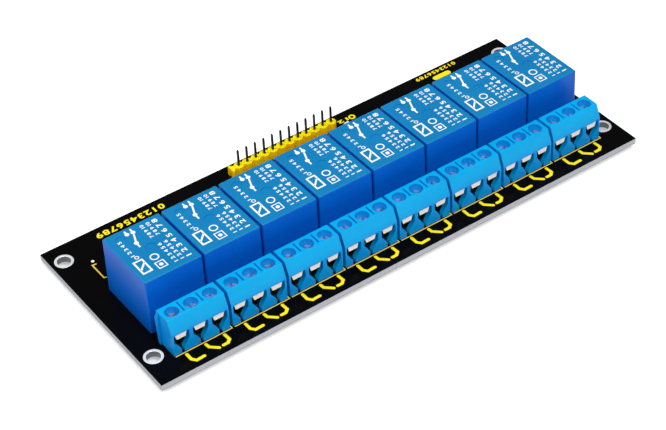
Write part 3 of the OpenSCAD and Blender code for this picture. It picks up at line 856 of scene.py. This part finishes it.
# along the board, a channel's marks are placed from its middle
# across it, the contact sign is placed from the housing's front and the rest from the board's middle
silk = {
    "thick": 0.03, "weight": 0.03, "spread": 1.18, "turn": 180,
    "boxWidth": 0.26, "boxLeft": 7.2, "boxRight": 7.75, "boxFront": 0.32, "boxBack": 0.5,
    "signWidth": 0.8,
    "contactSign": [[(-4.9, -1.1), (-4.9, -3.0), (-4.1, -4.0), (-2.0, -3.9)],
                    [(0.2, -1.1), (0.3, -2.2), (2.0, -3.8)],
                    [(5.2, -1.1), (5.3, -2.9), (4.4, -3.7), (3.2, -3.7)]],
    "bracketWidth": 0.36, "bracket": [(-5.7, 16.2), (-6.6, 16.3), (-6.6, 10.9), (-6.1, 10.7)],
    "dot": (-5.8, 17.5), "dotRadius": 0.4,
    "number": (-0.5, 16.8), "numberSize": (0.8, 1.4),
    "rows": [("0123456789", (-46.3, 24.45), 19.0, 2.0), ("0123456789", (47.9, 25.9), 12.8, 1.3),
             ("12", (16.7, 24.1), 3.0, 1.2)],
    "bar": [(46.2, 23.6), (50.2, 23.6)], "barWidth": 1.6, "ring": ((19.4, 24.0), 0.7, 0.45)}


def buildSilk():
    lines, marks, dots = bmesh.new(), bmesh.new(), bmesh.new()
    low, thick = boardTop, silk["thick"]
    for number, (at, (boxLow, boxHigh)) in enumerate(zip(channelAt, housingBoxes), 1):
        left, right = at - silk["boxLeft"], at + silk["boxRight"]
        front, back = boxLow.y - silk["boxFront"], boxHigh.y + silk["boxBack"]
        addStroke(lines, [(left, front), (right, front), (right, back), (left, back)],
                  silk["boxWidth"], low, thick)
        addStroke(lines, [(at + x, y) for x, y in silk["bracket"]], silk["bracketWidth"], low, thick)
        for path in silk["contactSign"]:
            addStroke(marks, [(at + x, boxLow.y + y) for x, y in path], silk["signWidth"], low, thick)
        addDisc(dots, (at + silk["dot"][0], silk["dot"][1]), silk["dotRadius"], low, thick)
        addFigures(marks, str(number), (at + silk["number"][0], silk["number"][1]),
                   *silk["numberSize"], silk["turn"], low, thick, silk["weight"])
    for words, place, length, height in silk["rows"]:
        addFigures(marks, words, place, length, height, silk["turn"], low, thick, silk["weight"],
                   silk["spread"])
    addStroke(marks, silk["bar"], silk["barWidth"], low, thick)
    addRing(marks, *silk["ring"], low, thick)
    finishPiece("boardLines", lines, "silkPale")
    finishPiece("boardMarks", marks, "silkYellow")
    finishPiece("boardDots", dots, "silkWhite")


buildSilk()
print("print made")

# Stage, lamps and camera

# in metres, with the lamps given by azimuth, elevation and watts
studio = {"worldLight": 0.18, "white": (1, 1, 1, 1), "floorSize": 2, "floorGap": 0.0001,
          "floor": {"Base Color": (0.86, 0.86, 0.87, 1), "Roughness": 0.9, "Specular IOR Level": 0.0},
          "floorGlow": 0.4, "keyLamp": (-8, 57, 7.2), "sideLamp": (-115, 48, 3.6),
          "lampDistance": 0.9, "lampSize": 0.5}
# in millimetres and degrees
viewpoint = {"azimuth": -33.673, "elevation": 40.716, "roll": -3.085, "distance": 469.28,
             "target": (-4.55, -0.853, 0.0), "lens": 104.42, "sensor": 36}


def wayBack(azimuth, elevation):  # from what it faces, back towards a lamp or the camera
    a, e = math.radians(azimuth), math.radians(elevation)
    return Vector((math.sin(a) * math.cos(e), -math.cos(a) * math.cos(e), math.sin(e)))


def addLamp(name):
    azimuth, elevation, watts = studio[name]
    light = bpy.data.lights.new(name, "AREA")
    light.energy = watts
    light.size = studio["lampSize"]
    back = wayBack(azimuth, elevation)
    holder = bpy.data.objects.new(name, light)
    holder.location = back * studio["lampDistance"]
    holder.rotation_euler = (-back).to_track_quat("-Z", "Y").to_euler()
    bpy.context.scene.collection.objects.link(holder)


def rayMask(tree, *kinds):
    path = addNode(tree, "ShaderNodeLightPath").outputs
    mask = path[kinds[0]]
    for kind in kinds[1:]:
        mask = mathNode(tree, "MAXIMUM", mask, path[kind])
    return mask


def buildWorld():
    world = bpy.data.worlds.new("studio")
    bpy.context.scene.world = world
    world.use_nodes = True
    tree = world.node_tree
    background = tree.nodes["Background"]
    background.inputs["Color"].default_value = studio["white"]
    seen = rayMask(tree, "Is Camera Ray", "Is Transmission Ray")
    tree.links.new(mapRange(tree, seen, studio["worldLight"], 1.0), background.inputs["Strength"])


def buildFloor():
    bm = bmesh.new()
    bmesh.ops.create_grid(bm, x_segments=1, y_segments=1, size=studio["floorSize"])
    mesh = bpy.data.meshes.new("floor")
    bm.to_mesh(mesh)
    bm.free()
    floor = bpy.data.objects.new("floor", mesh)
    floor.location.z = cadBox[0].z - studio["floorGap"]
    bpy.context.scene.collection.objects.link(floor)
    material, tree, shader = newMaterial("floorPaper", studio["floor"])
    seen = rayMask(tree, "Is Camera Ray", "Is Glossy Ray", "Is Transmission Ray")
    tree.links.new(mapRange(tree, seen, 0.0, studio["floorGlow"]), shader.inputs["Emission Strength"])
    shader.inputs["Emission Color"].default_value = studio["white"]
    mesh.materials.append(material)


def placeCamera():
    back = wayBack(viewpoint["azimuth"], viewpoint["elevation"])
    roll = math.radians(viewpoint["roll"])
    right = (-back).cross(Vector((0, 0, 1))).normalized()
    up = right.cross(-back)
    rolledRight = right * math.cos(roll) + up * math.sin(roll)
    rolledUp = up * math.cos(roll) - right * math.sin(roll)
    lens = bpy.data.cameras.new("camera")
    lens.lens = viewpoint["lens"]
    lens.sensor_width = viewpoint["sensor"]
    camera = bpy.data.objects.new("camera", lens)
    turn = Matrix((rolledRight, rolledUp, back)).transposed().to_4x4()
    place = (Vector(viewpoint["target"]) + back * viewpoint["distance"]) * mm
    camera.matrix_world = Matrix.Translation(place) @ turn
    bpy.context.scene.collection.objects.link(camera)
    bpy.context.scene.camera = camera


bpy.context.scene.view_settings.view_transform = "Standard"
buildWorld()
buildFloor()
addLamp("keyLamp")
addLamp("sideLamp")
placeCamera()
print("stage set")
